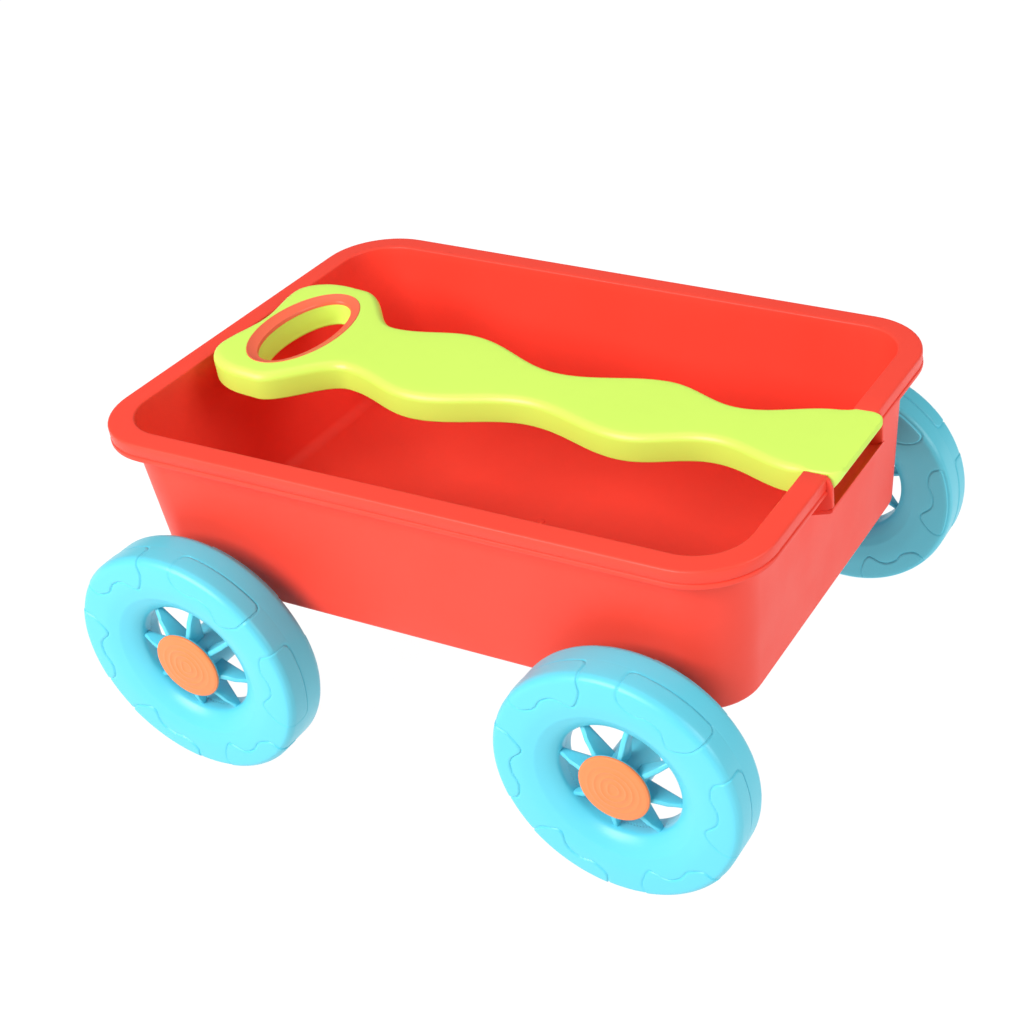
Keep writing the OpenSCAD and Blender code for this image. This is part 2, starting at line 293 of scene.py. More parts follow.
def resample(points, spacing):
    """A smooth curve through the points (Catmull-Rom), with points about a spacing apart."""
    points = np.asarray(points, float)
    padded = np.concatenate([[2 * points[0] - points[1]], points, [2 * points[-1] - points[-2]]])
    fine = []
    for i in range(len(points) - 1):
        p0, p1, p2, p3 = padded[i:i + 4]
        t = np.linspace(0, 1, 24, endpoint=False)[:, None]
        fine.append(0.5 * (2 * p1 + (p2 - p0) * t + (2 * p0 - 5 * p1 + 4 * p2 - p3) * t ** 2
                           + (3 * p1 - p0 - 3 * p2 + p3) * t ** 3))
    fine = np.concatenate(fine + [points[-1:]])
    lengths = np.concatenate([[0], np.cumsum(np.linalg.norm(np.diff(fine, axis=0), axis=1))])
    count = max(2, int(round(lengths[-1] / spacing)))
    wanted = np.linspace(0, lengths[-1], count + 1)
    return np.stack([np.interp(wanted, lengths, fine[:, k]) for k in range(2)], axis=1)


def smooth_step(value, low, high):
    t = np.clip((np.asarray(value, float) - low) / (high - low), 0, 1)
    return t * t * (3 - 2 * t)


# ---------------------------------------------------------------- materials
def plastic(name, colour, shade, roughness, grain=0.04, swirl=0.5, gloss_level=0.5):
    """Moulded plastic: slow colour drift, fine moulded grain, uneven gloss and faint handling scuffs."""
    material = bpy.data.materials.new(name)
    material.use_nodes = True
    nodes, links = material.node_tree.nodes, material.node_tree.links
    shader = nodes["Principled BSDF"]
    place = nodes.new("ShaderNodeTexCoord")

    def noise(scale, detail, rough=0.5):
        node = nodes.new("ShaderNodeTexNoise")
        node.inputs["Scale"].default_value = scale
        node.inputs["Detail"].default_value = detail
        node.inputs["Roughness"].default_value = rough
        links.new(place.outputs["Object"], node.inputs["Vector"])
        return node.outputs["Fac"]

    def ramp(source, low, high, at=(0.35, 0.65)):
        node = nodes.new("ShaderNodeMapRange")
        node.inputs["From Min"].default_value = at[0]
        node.inputs["From Max"].default_value = at[1]
        node.inputs["To Min"].default_value = low
        node.inputs["To Max"].default_value = high
        links.new(source, node.inputs["Value"])
        return node.outputs["Result"]

    def feed(socket, value):
        if isinstance(value, bpy.types.NodeSocket):
            links.new(value, socket)
        else:
            socket.default_value = value

    def blend(kind, factor, a, b):
        node = nodes.new("ShaderNodeMix")
        node.data_type = "RGBA"
        node.blend_type = kind
        for index, value in ((0, factor), (6, a), (7, b)):
            feed(node.inputs[index], value)
        return node.outputs[2]

    def combine(operation, a, b):
        node = nodes.new("ShaderNodeMath")
        node.operation = operation
        feed(node.inputs[0], a)
        feed(node.inputs[1], b)
        return node.outputs[0]

    drift = ramp(noise(9, 2), 0.0, swirl)
    mottle = ramp(noise(140, 3), 0.0, 0.10)
    tint = blend("MIX", drift, (*colour, 1), (*shade, 1))
    tint = blend("MULTIPLY", mottle, tint, (0.93, 0.93, 0.93, 1))
    links.new(tint, shader.inputs["Base Color"])

    scuffs = ramp(noise(420, 4, 0.7), 0.0, 0.05, (0.62, 0.75))
    gloss = ramp(noise(26, 4), roughness - 0.04, roughness + 0.06)
    links.new(combine("ADD", gloss, scuffs), shader.inputs["Roughness"])

    fine = noise(2600, 2)
    orange_peel = noise(170, 2)
    height = combine("ADD", fine, combine("MULTIPLY", orange_peel, 3.0))
    bump = nodes.new("ShaderNodeBump")
    bump.inputs["Strength"].default_value = grain
    bump.inputs["Distance"].default_value = 0.00025
    links.new(height, bump.inputs["Height"])
    links.new(bump.outputs["Normal"], shader.inputs["Normal"])
    shader.inputs["Specular IOR Level"].default_value = gloss_level
    shader.inputs["IOR"].default_value = 1.49
    return material


def steel(name):
    """Zinc-plated steel with fine drawn lines along Y, the way the axles and the pin lie."""
    material = bpy.data.materials.new(name)
    material.use_nodes = True
    nodes, links = material.node_tree.nodes, material.node_tree.links
    shader = nodes["Principled BSDF"]
    place = nodes.new("ShaderNodeTexCoord")
    stretch = nodes.new("ShaderNodeMapping")
    stretch.inputs["Scale"].default_value = (900, 60, 900)
    links.new(place.outputs["Object"], stretch.inputs["Vector"])
    lines = nodes.new("ShaderNodeTexNoise")
    lines.inputs["Scale"].default_value = 1.0
    lines.inputs["Detail"].default_value = 3
    links.new(stretch.outputs["Vector"], lines.inputs["Vector"])
    ramp = nodes.new("ShaderNodeValToRGB")
    ramp.color_ramp.elements[0].color = (0.42, 0.43, 0.45, 1)
    ramp.color_ramp.elements[1].color = (0.68, 0.69, 0.72, 1)
    links.new(lines.outputs["Fac"], ramp.inputs["Fac"])
    links.new(ramp.outputs["Color"], shader.inputs["Base Color"])
    gloss = nodes.new("ShaderNodeMapRange")
    gloss.inputs["To Min"].default_value = 0.22
    gloss.inputs["To Max"].default_value = 0.42
    links.new(lines.outputs["Fac"], gloss.inputs["Value"])
    links.new(gloss.outputs["Result"], shader.inputs["Roughness"])
    bump = nodes.new("ShaderNodeBump")
    bump.inputs["Strength"].default_value = 0.15
    bump.inputs["Distance"].default_value = 0.0001
    links.new(lines.outputs["Fac"], bump.inputs["Height"])
    links.new(bump.outputs["Normal"], shader.inputs["Normal"])
    shader.inputs["Metallic"].default_value = 1.0
    return material


RED = plastic("tub_red", (0.93, 0.064, 0.036), (0.90, 0.054, 0.030), 0.44, gloss_level=0.32)
RED_DARK = plastic("carrier_red", (0.80, 0.045, 0.020), (0.74, 0.038, 0.016), 0.48, gloss_level=0.32)
LIME = plastic("handle_lime", (0.67, 0.95, 0.13), (0.64, 0.92, 0.115), 0.38)
CORAL = plastic("ring_coral", (0.93, 0.150, 0.070), (0.90, 0.135, 0.062), 0.40)
CYAN = plastic("wheel_cyan", (0.12, 0.63, 0.78), (0.10, 0.60, 0.76), 0.34, grain=0.03)
ORANGE = plastic("cap_orange", (0.95, 0.24, 0.07), (0.92, 0.22, 0.065), 0.38)
STEEL = steel("plated_steel")


# ---------------------------------------------------------------- tub
def rim_station(half_l, half_w, radius, gap):
    """Points round the tub, from the left side of the hinge gap, round the back, to its right side."""
    points = [(half_l, y) for y in np.linspace(gap, half_w - radius, 5)[:-1]]
    for turn, sx, sy in ((0, 1, 1), (90, -1, 1), (180, -1, -1), (270, 1, -1)):
        corner = (sx * (half_l - radius), sy * (half_w - radius))
        points += arc(corner, radius, turn, turn + 90, 14)
        if turn == 0:
            points += [(x, half_w) for x in np.linspace(half_l - radius, radius - half_l, 13)[1:-1]]
        if turn == 90:
            points += [(-half_l, y) for y in np.linspace(half_w - radius, radius - half_w, 9)[1:-1]]
        if turn == 180:
            points += [(x, -half_w) for x in np.linspace(radius - half_l, half_l - radius, 13)[1:-1]]
    points += [(half_l, y) for y in np.linspace(radius - half_w, -gap, 5)[1:]]
    return points


def wall_inset(z):
    """How far the drafted walls stand inwards at a height."""
    return DRAFT * (RIM_Z - z)


def tub_section():
    """The tub's section, from the inside floor over the rim to the underside.

    Each row is (inset from the rim's edge, height, corner radius). The two numbers after the rows say
    where the hinge gap's section starts and ends.
    """
    rows = []
    floor_fillet, base_fillet = 5.0, 2.5
    inner_top, outer_top, foot_r = 0.8, 1.2, 0.5
    rim_edge = 0.35

    def wall_row(base, z, extra=0.0):
        shift = wall_inset(z)
        radius = INNER_R + (0 if base == RIM_W else WALL) - 0.3 * shift - extra
        return (base + shift + extra, z, radius)

    for a in np.linspace(0, 90, 8):
        extra = floor_fillet * (1 - math.sin(math.radians(a)))
        z = FLOOR_Z + floor_fillet * (1 - math.cos(math.radians(a)))
        rows.append(wall_row(RIM_W, z, extra))
    for z in np.linspace(FLOOR_Z + floor_fillet, LEDGE_Z, 6)[1:]:
        rows.append(wall_row(RIM_W, z))
    ledge_inner = len(rows) - 1
    rows.append(wall_row(RIM_W, RIM_Z - 6))
    for a in np.linspace(0, 90, 5):
        inset = RIM_W - inner_top * (1 - math.cos(math.radians(a)))
        rows.append((inset, RIM_Z - inner_top * (1 - math.sin(math.radians(a))), INNER_R))
    rows.append((RIM_W - 3.5, RIM_Z, 27.4))
    rows.append((3.0, RIM_Z, RIM_R - 3.0))
    for a in np.linspace(90, 0, 7):
        inset = rim_edge + outer_top * (1 - math.cos(math.radians(a)))
        rows.append((inset, RIM_Z - outer_top * (1 - math.sin(math.radians(a))), RIM_R - inset))
    # a groove, and the bead along the foot of the skirt
    bottom = RIM_Z - SKIRT_H
    for inset, height in ((rim_edge, 3.1), (0.5, 2.85), (0.95, 2.6), (0.5, 2.35), (0.12, 2.0), (0.0, 1.5),
                          (0.0, 0.7), (0.2, 0.2), (0.7, 0.0)):
        rows.append((inset, bottom + height, RIM_R - inset))
    for a in np.linspace(90, 0, 4):
        inset = SKIRT_T - foot_r * (1 - math.cos(math.radians(a)))
        rows.append((inset, bottom + foot_r * (1 - math.sin(math.radians(a))), RIM_R - inset))
    under = RIM_Z - RIM_T
    outer = RIM_W - WALL
    rows.append((SKIRT_T, under - 1, RIM_R - SKIRT_T))
    rows.append((SKIRT_T + 1, under, RIM_R - SKIRT_T - 1))
    rows.append((outer - 1.2, under, 28.6))
    rows.append((outer - 0.3, under - 0.4, 28.2))
    rows.append(wall_row(outer, under - 1.3))
    rows.append(wall_row(outer, LEDGE_Z))
    ledge_outer = len(rows) - 1
    for z in np.linspace(LEDGE_Z, BASE_Z + base_fillet, 7)[1:]:
        rows.append(wall_row(outer, z))
    for a in np.linspace(80, 0, 7):
        extra = base_fillet * (1 - math.sin(math.radians(a)))
        z = BASE_Z + base_fillet * (1 - math.cos(math.radians(a)))
        rows.append(wall_row(outer, z, extra))
    return rows, ledge_inner, ledge_outer


def tub():
    """Floor, walls, rim and skirt, the hinge's cheeks and ledge, and the screw bosses."""
    shape = Shape()
    rows, ledge_inner, ledge_outer = tub_section()
    end_r = 0.9
    rings = []
    for inset, z, radius in rows:
        loop = rim_station(TUB_L / 2 - inset, TUB_W / 2 - inset, radius, NOTCH + end_r)
        rings.append(shape.ring([(x, y, z) for x, y in loop]))
    for i, (low, high) in enumerate(zip(rings, rings[1:])):
        shape.bridge(low, high, closed=False)
        if i < ledge_inner or i >= ledge_outer:
            shape.faces.append((low[-1], low[0], high[0], high[-1]))
    shape.faces.append(tuple(rings[0]))
    shape.faces.append(tuple(rings[-1]))
    top, foot = rings[ledge_inner], rings[ledge_outer]
    shape.faces.append((top[-1], top[0], foot[0], foot[-1]))

    # rounded ends of the rim at the hinge gap
    upper = rows[ledge_inner:ledge_outer + 1]
    section = np.array([(TUB_L / 2 - inset, z) for inset, z, _ in upper])
    for side, index in ((1, 0), (-1, -1)):
        last = [ring[index] for ring in rings[ledge_inner:ledge_outer + 1]]
        for a in (30, 60, 90):
            inwards = end_r * (1 - math.cos(math.radians(a)))
            y = side * (NOTCH + end_r - end_r * math.sin(math.radians(a)))
            ends = drawn_in(section[::-1], inwards)[::-1]
            ring = shape.ring([(x, y, z) for x, z in ends])
            shape.bridge(last, ring)
            last = ring
        shape.faces.append(tuple(last))

    # hinge cheeks, and the ledge between them with its sloping underside
    cheek = [(CHEEK_BACK, LEDGE_TOP - 3.5), (CHEEK_BACK, RIM_Z - 0.5), (168.6, RIM_Z - 0.35),
             (170.6, RIM_Z - 1.6), (LEDGE_X - 0.2, RIM_Z - 5.6), (LEDGE_X, LEDGE_TOP + 0.3),
             (LEDGE_X - 3, LEDGE_TOP - 1.5)]
    for side in (-1, 1):
        middle = side * (NOTCH + CHEEK_T / 2)
        shape.add(*prism(cheek, CHEEK_T, lambda x, z, y, middle=middle: (x, middle + y, z), 0.55))
    # the ledge's top is a trough that the handle's front edge swings through
    trough = SWING_R + SWING_GAP
    reach = math.degrees(math.acos((LEDGE_X - 0.25 - PIVOT_X) / trough))
    ledge = [(158.4, LEDGE_TOP), (158.4, LEDGE_Z - 1.5), (160.6, LEDGE_Z - 2.0),
             (LEDGE_X - 1.4, LEDGE_Z + 1.2), (LEDGE_X, LEDGE_TOP - 1.6), (LEDGE_X, LEDGE_TOP)]
    ledge += arc((PIVOT_X, PIVOT_Z), trough, -reach, -125, 14)
    shape.add(*prism(ledge, 2 * (NOTCH + CHEEK_T) - 0.3, lambda x, z, y: (x, y, z), 0.12, 2))

    # round mark left by the moulding gate, in the middle of the floor
    gate = [(0.01, 0.42), (1.5, 0.42), (1.9, 0.25), (2.2, -0.3), (0.01, -0.3)]
    verts, faces = lathe(gate, 32)
    shape.add([(x, y, z + FLOOR_Z) for x, y, z in verts], faces)

    # screw bosses under the floor
    bosses = [(0.01, BASE_Z + 0.5), (4.9, BASE_Z + 0.5), (4.5, BASE_Z - 1.2), (4.5, tub_low.z + 0.4),
              (4.1, tub_low.z), (1.6, tub_low.z), (1.6, BASE_Z - 4), (0.01, BASE_Z - 4)]
    for end in ("front", "rear"):
        low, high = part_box(end + "_axle_carrier")
        middle = (low.x + high.x) / 2 / MM
        for x in (-BOSS_X, BOSS_X):
            for y in (-BOSS_Y, BOSS_Y):
                verts, faces = lathe(bosses, 32)
                shape.add([(middle + x + u, y + v, w) for u, v, w in verts], faces)
    mesh = make_mesh("tub_moulding", shape, RED, 32)
    place_piece("tub_moulding", mesh, "wagon_base", ["tub"])


# ---------------------------------------------------------------- handle
def arch(x):
    """Height of the handle's top face along its arch."""
    return RIM_Z - 2.1 + (x - ARCH_X) ** 2 / (2 * ARCH_R)


def handle_top(x):
    """Height of the top face, flat over the pin and then down the nose's swing arc."""
    x = np.asarray(x, float)
    nose = PIVOT_Z + np.minimum(np.sqrt(np.maximum(SWING_R ** 2 - (x - PIVOT_X) ** 2, 0)), HANDLE_T / 2)
    return np.where(x <= PIVOT_X, arch(x), nose)


def handle_bottom(x):
    """Height of the underside, cut back beneath the nose."""
    x = np.asarray(x, float)
    nose = PIVOT_Z + np.interp(x - PIVOT_X, [-2.5, 2.0, 4.2, 7.4, NOSE_D], [-7.0, -5.2, -2.6, 1.5, 4.8])
    return np.where(x <= PIVOT_X - 2.5, arch(x) - HANDLE_T, nose)


def ease(a, b, t):
    """A smooth change from a to b as t goes from 0 to 1."""
    return a + (b - a) * (1 - math.cos(math.pi * t)) / 2


def shank_w(x):
    """Half width of the handle between the stations."""
    for (x0, w0), (x1, w1) in zip(STATIONS, STATIONS[1:]):
        if x <= x1:
            return ease(w0, w1, (x - x0) / (x1 - x0))
    return STATIONS[-1][1]


def handle_outline():
    """The handle from above, counter-clockwise, starting beside the middle of the nose."""
    nose_x = PIVOT_X + NOSE_D - 0.02
    corner = 8.0
    side = [(nose_x, y) for y in np.linspace(1.5, NOTCH - 0.3 - corner, 8)[:-1]]
    side += arc((nose_x - corner, NOTCH - 0.3 - corner), corner, 0, 90, 10)
    side += [(162, NOTCH - 0.3), (160, NOTCH - 0.35), (CHEEK_BACK, NOTCH - 0.5)]
    side += [(x, shank_w(x)) for x in np.linspace(156.5, -85, 82)]
    neck_l = 35.0
    side += [(x, ease(STATIONS[0][1], HEAD_W, (STATIONS[0][0] - x) / neck_l))
             for x in np.linspace(-86, -120, 16)]
    head_a, head_b = 24.3, 19.0
    side += [(-130 - head_a * math.cos(a), HEAD_W - head_b + head_b * math.sin(a))
             for a in np.radians(np.linspace(90, 10, 14))]
    flat = HEAD_W - head_b
    side += [(-150.6 - 3.7 * (1 - math.cos(math.pi * y / flat)) / 2, y) for y in np.linspace(flat, 1.5, 14)]
    return np.array(side + [(x, -y) for x, y in side[::-1]])


def edge_radius(x):
    """Radius of the top edge: soft round the grip, tight at the hinge."""
    return np.interp(x, [-150, -95, 100, 150, 154, 160], [4.8, 4.2, 3.8, 3.6, 3.4, 1.0])


def hole_growth(depth):
    """How much the hand hole widens towards the top, at a depth below it."""
    return HOLE_TAPER * (HANDLE_T - depth)


def handle():
    """The lime moulding: rounded top, hand hole, and a ribbed hollow underneath."""
    shape = Shape()
    outline = handle_outline()
    centre = (HEAD_X, 0.0)

    def level(points, heights):
        return [(x, y, z) for (x, y), z in zip(points, heights)]

    # top face and its rounded edge
    nose_rows = [(PIVOT_X + x, y) for x in (-2.5, 2.0, 4.2, 6.0, 7.4, 8.0)
                 for y in np.linspace(-24, 24, 14)]
    rings = []
    radius = edge_radius(outline[:, :1])
    for a in np.radians(np.linspace(90, 0, 10)):
        inner = drawn_in(outline, radius * (1 - math.sin(a)))
        top = handle_top(inner[:, 0])
        body = np.clip((top - handle_bottom(inner[:, 0])) / HANDLE_T, 0, 1) ** 1.5
        rings.append(shape.ring(level(inner, top - radius[:, 0] * body * (1 - math.cos(a)))))
    for a, b in zip(rings, rings[1:]):
        shape.bridge(a, b)
    recess = ellipse(HOLE_A + RING_W + 0.08, HOLE_B + RING_W + 0.08, ROUND, centre)
    verts, faces = fill_between(inner, [recess], 5.0, nose_rows)
    shape.add(np.column_stack([verts, handle_top(verts[:, 0])]), faces)

    # recess for the ring, and the wall of the hand hole
    last = shape.ring(level(recess, handle_top(recess[:, 0])))
    foot = shape.ring(level(recess, handle_top(recess[:, 0]) - RING_T))
    shape.bridge(last, foot)
    last = foot
    for depth in (RING_T, 5.0, 7.0, 9.0, 11.0, 12.5):
        grow = hole_growth(depth)
        points = ellipse(HOLE_A + grow, HOLE_B + grow, ROUND, centre)
        ring = shape.ring(level(points, handle_top(points[:, 0]) - depth))
        shape.bridge(last, ring)
        last = ring
    for a in (0, 30, 60, 90):
        grow = 1.0 * (1 - math.cos(math.radians(a)))
        points = ellipse(HOLE_A + grow, HOLE_B + grow, ROUND, centre)
        height = handle_bottom(points[:, 0]) + 1.0 * (1 - math.sin(math.radians(a)))
        ring = shape.ring(level(points, height))
        shape.bridge(last, ring)
        last = ring

    # underside: a rounded lip, the hollow, and the wall round the hole
    side = rings[0]
    low_r = 0.9
    for a in (0, 30, 60, 90):
        distance = low_r * (1 - math.cos(math.radians(a)))
        points = drawn_in(outline, distance)
        half = (handle_top(points[:, 0]) - handle_bottom(points[:, 0])) / 2
        rise = np.minimum(low_r, half) * (1 - math.sin(math.radians(a)))
        ring = shape.ring(level(points, handle_bottom(points[:, 0]) + rise))
        shape.bridge(side, ring)
        side = ring
    under = points
    hollow_end = PIVOT_X - 12
    hollow = drawn_in(outline, SKIN)
    hollow = hollow[hollow[:, 0] < hollow_end - 0.5]
    top_side = hollow[hollow[:, 1] > 0]
    low_side = hollow[hollow[:, 1] < 0]
    front = [(hollow_end, y) for y in np.linspace(-abs(low_side[-1][1]), top_side[0][1], 12)]
    hollow = np.array(list(front) + list(top_side) + list(low_side))
    verts, faces = fill_between(under, [hollow], 5.0, nose_rows)
    shape.add(np.column_stack([verts, handle_bottom(verts[:, 0])]), faces)
    boss = ellipse(HOLE_A + RING_W + 1.6, HOLE_B + RING_W + 1.6, ROUND, centre)
    lip = ellipse(HOLE_A + 1.0, HOLE_B + 1.0, ROUND, centre)
    shape.bridge(shape.ring(level(lip, handle_bottom(lip[:, 0]))),
                 shape.ring(level(boss, handle_bottom(boss[:, 0]))))
    ceiling = 2.8
    for loop in (hollow, boss):
        shape.bridge(shape.ring(level(loop, handle_bottom(loop[:, 0]))),
                     shape.ring(level(loop, handle_top(loop[:, 0]) - ceiling)))
    verts, faces = fill_between(hollow, [boss], 6.0)
    shape.add(np.column_stack([verts, handle_top(verts[:, 0]) - ceiling]), faces)

    # ribs in the hollow
    rib_t = 2.0
    for x in (-72, -36, 0, 36, 72, 108, 140):
        half = shank_w(x) - 1.2 if x > -86 else HEAD_W - 1.2
        rib = [(-half, handle_bottom(x) + 0.6), (half, handle_bottom(x) + 0.6),
               (half, handle_top(x) - 1.5), (-half, handle_top(x) - 1.5)]
        shape.add(*prism(rib, rib_t, lambda y, z, t, x=x: (x + t, y, z), 0.3, 1))
    spine_x = np.linspace(-108, 154, 24)
    spine = [(x, float(handle_bottom(x)) + 0.6) for x in spine_x]
    spine += [(x, float(handle_top(x)) - 1.5) for x in spine_x[::-1]]
    shape.add(*prism(spine, rib_t, lambda x, z, y: (x, y, z)))
    mesh = make_mesh("handle_moulding", shape, LIME, 40)
    place_piece("handle_moulding", mesh, "pull_handle", ["handle_body"])


def grip_ring():
    """Inlaid ring round the hand hole: a fine raised lip, then a shallow dish down into the hole."""
    shape = Shape()
    width, proud, soft = RING_W, 0.22, 0.35
    foot = hole_growth(RING_T)
    section = [(foot, -RING_T + 0.02), (foot + 0.05, -DISH_D - 0.75), (DISH_LOW - 0.02, -DISH_D - 0.3),
               (DISH_LOW + 0.15, -DISH_D + 0.05), (DISH_LOW + 0.55, -DISH_D + 0.1), (4.3, -0.75),
               (width - 0.9, -0.08), (width - 0.62, proud - 0.12)]
    section += [(width - soft + soft * math.cos(a), proud - soft + soft * math.sin(a))
                for a in np.radians((90, 60, 30, 0))]
    section += [(width, -RING_T + 0.02)]
    rings = []
    for out, height in section:
        points = ellipse(HOLE_A + out, HOLE_B + out, ROUND, (HEAD_X, 0.0))
        rings.append(shape.ring([(x, y, float(handle_top(x)) + height) for x, y in points]))
    for a, b in zip(rings, rings[1:] + rings[:1]):
        shape.bridge(a, b)
    mesh = make_mesh("grip_ring_inlay", shape, CORAL, 40)
    place_piece("grip_ring_inlay", mesh, "pull_handle", ["grip_ring"])


# ---------------------------------------------------------------- wheels
# outer skin of half a wheel's ring, from the bore over the side to the tread: (radius, distance out)
RING_SECTION = [(BORE_R, 0), (BORE_R, WHEEL_HW - 8.6), (BORE_R + 0.8, WHEEL_HW - 6.8),
                (BORE_R + 4, WHEEL_HW - 4.1), (BORE_R + 9, WHEEL_HW - 1.5), (BORE_R + 15, WHEEL_HW - 0.35),
                (BORE_R + 20, WHEEL_HW - 0.15), (TREAD_R - 3.4, WHEEL_HW - 0.45),
                (TREAD_R - 1.4, WHEEL_HW - 1.4), (TREAD_R - 0.35, WHEEL_HW - 3.1),
                (TREAD_R, WHEEL_HW - 5.2), (TREAD_R, 0.3), (TREAD_R - 0.3, 0)]


def pad_inner_radius(offset):
    """Radius of a pad's wavy inner edge, at an angle in degrees from the pad's middle."""
    small = 1.8 * np.exp(-((offset - 11.5) / 4.6) ** 2)
    large = 6.2 * np.exp(-((offset + 12.5) / 6.5) ** 2)
    return 51.2 - small - large


def rounded_min(a, b, radius):
    """Distance inside two edges at once, with their corner rounded."""
    corner = radius - np.hypot(np.maximum(radius - a, 0), np.maximum(radius - b, 0))
    return np.where((a < radius) & (b < radius), corner, np.minimum(a, b))


def pad_height(radius, width, turn, tread):
    """How far the pads stand out of the ring, with a fine groove round each."""
    spacing = 360 / PADS
    offset = (turn - PAD_TURN + spacing / 2) % spacing - spacing / 2
    end = np.radians(PAD_HALF - np.abs(offset)) * np.maximum(radius, 40)
    inner = radius - pad_inner_radius(offset)
    distance = rounded_min(end, inner, 4.5)
    if tread:
        distance = rounded_min(distance, np.where(radius > TREAD_R - 3, width - 0.9, 9.0), 3.5)
    else:
        distance = rounded_min(distance, TREAD_R - 1.6 - radius, 2.5)
    groove = -PAD_GROOVE * np.exp(-((distance + 0.25) / 0.34) ** 2)
    return PAD_H * smooth_step(distance, -0.05, 0.6) + groove


def ring_mesh(tread):
    """One half of a wheel's hollow ring, its outer side towards +Z, with raised pads."""
    fine = resample(RING_SECTION[4:], 0.5)
    coarse = resample(RING_SECTION[:5], 1.3)[:-1]
    profile = np.concatenate([coarse, fine])
    count = 720
    tangent = np.gradient(profile, axis=0)
    tangent /= np.linalg.norm(tangent, axis=1, keepdims=True)
    normal = np.stack([-tangent[:, 1], tangent[:, 0]], axis=1)
    turn = np.linspace(0, 360, count, endpoint=False)
    height = pad_height(profile[:, :1], profile[:, 1:], turn[None, :], tread)
    height[:len(coarse)] = 0
    height[-2:] = 0
    radius = profile[:, :1] + normal[:, :1] * height
    width = profile[:, 1:] + normal[:, 1:] * height
    angle = np.radians(turn)[None, :]
    outer = np.stack([radius * np.cos(angle), radius * np.sin(angle), width], axis=-1).reshape(-1, 3)
    shape = Shape()
    shape.add(outer, grid_faces(len(profile), count))
    # the hollow inside, down to the joint at the wheel's middle plane
    hollow = resample([(TREAD_R - TREAD_WALL, 0), (TREAD_R - TREAD_WALL, 5.5), (TREAD_R - 4, 9.2),
                       (52, 10.6), (45, 10.8), (39, 9.4), (34.5, 7.2),
                       (BORE_R + BORE_WALL, 3.5), (BORE_R + BORE_WALL, 0)], 3.0)
    shape.add(*lathe(hollow, ROUND, closed=False))
    for a, b in ((BORE_R, BORE_R + BORE_WALL), (TREAD_R - TREAD_WALL, TREAD_R - 0.3)):
        shape.add(*lathe([(a, 0), (b, 0)], ROUND, closed=False))
    return shape


def spoke(turn):
    """A tapered blade from the hub to the ring, with rounded edges."""
    outline = [(9, -2), (BORE_R + 0.9, 1.4), (BORE_R + 0.9, 4.5), (24, 6.9), (17.0, CAP_W - 2.8),
               (9, CAP_W - 3)]
    c, s = math.cos(math.radians(turn)), math.sin(math.radians(turn))
    return prism(outline, SPOKE_T, lambda r, w, t: (r * c - t * s, r * s + t * c, w), SPOKE_EDGE, 4)


def wheel_outer_shape():
    """The outer half of a wheel: its half of the ring, the spokes and the hub barrel."""
    shape = ring_mesh(True)
    for i in range(SPOKES):
        shape.add(*spoke(SPOKE_TURN + i * 360 / SPOKES))
    hub = [(4.2, -WHEEL_HW), (10.2, -WHEEL_HW), (10.8, -WHEEL_HW + 0.6), (10.8, CAP_W - 6.6),
           (12.4, CAP_W - 5.8), (CAP_R - 0.9, CAP_W - 3.3), (CAP_R - 0.45, CAP_W - 2.8),
           (CAP_R - 0.45, CAP_W - 2), (7.6, CAP_W - 2), (7.6, 4), (4.2, 4)]
    shape.add(*lathe(hub, 96))
    return shape


def cap_shape():
    """Hub cap with slightly wandering raised rings."""
    count, rows = 120, 84
    radius = np.linspace(0.01, CAP_R - 0.25, rows)[:, None]
    turn = np.linspace(0, 2 * np.pi, count, endpoint=False)[None, :]
    wander = 0.35 * np.sin(turn + 0.8) + 0.22 * np.sin(2 * turn - 1.0) + 0.12 * np.sin(3 * turn + 2.2)
    place = radius - wander * np.clip(1 - radius / CAP_R, 0, 1) * 1.6
    relief = np.zeros((rows, count))
    for ring, size in ((3.1, 0.30), (6.4, 0.32), (9.6, 0.30), (12.8, 0.16)):
        relief += size * np.exp(-((place - ring) / 0.62) ** 2)
    dome = 0.35 * (1 - (radius / CAP_R) ** 2)
    edge = -0.35 * smooth_step(radius, CAP_R - 1.3, CAP_R - 0.25)
    height = CAP_W - 0.45 + dome + edge + relief
    verts = np.stack([radius * np.cos(turn), radius * np.sin(turn), height], axis=-1).reshape(-1, 3)
    shape = Shape()
    shape.add(verts, grid_faces(rows, count))
    shape.faces.append(tuple(range(count)))
    last = list(range((rows - 1) * count, rows * count))
    # the cap's edge, its flat back and the collar that plugs into the hub
    for r, w in ((CAP_R - 0.02, CAP_W - 1.1), (CAP_R - 0.02, CAP_W - 1.9), (7.4, CAP_W - 1.9),
                 (7.4, CAP_W - 4.6), (6.2, CAP_W - 4.6), (6.2, CAP_W - 1.9), (0.4, CAP_W - 1.9)):
        ring = shape.ring([(r * math.cos(a), r * math.sin(a), w) for a in turn[0]])
        shape.bridge(last, ring)
        last = ring
    shape.faces.append(tuple(last))
    return shape


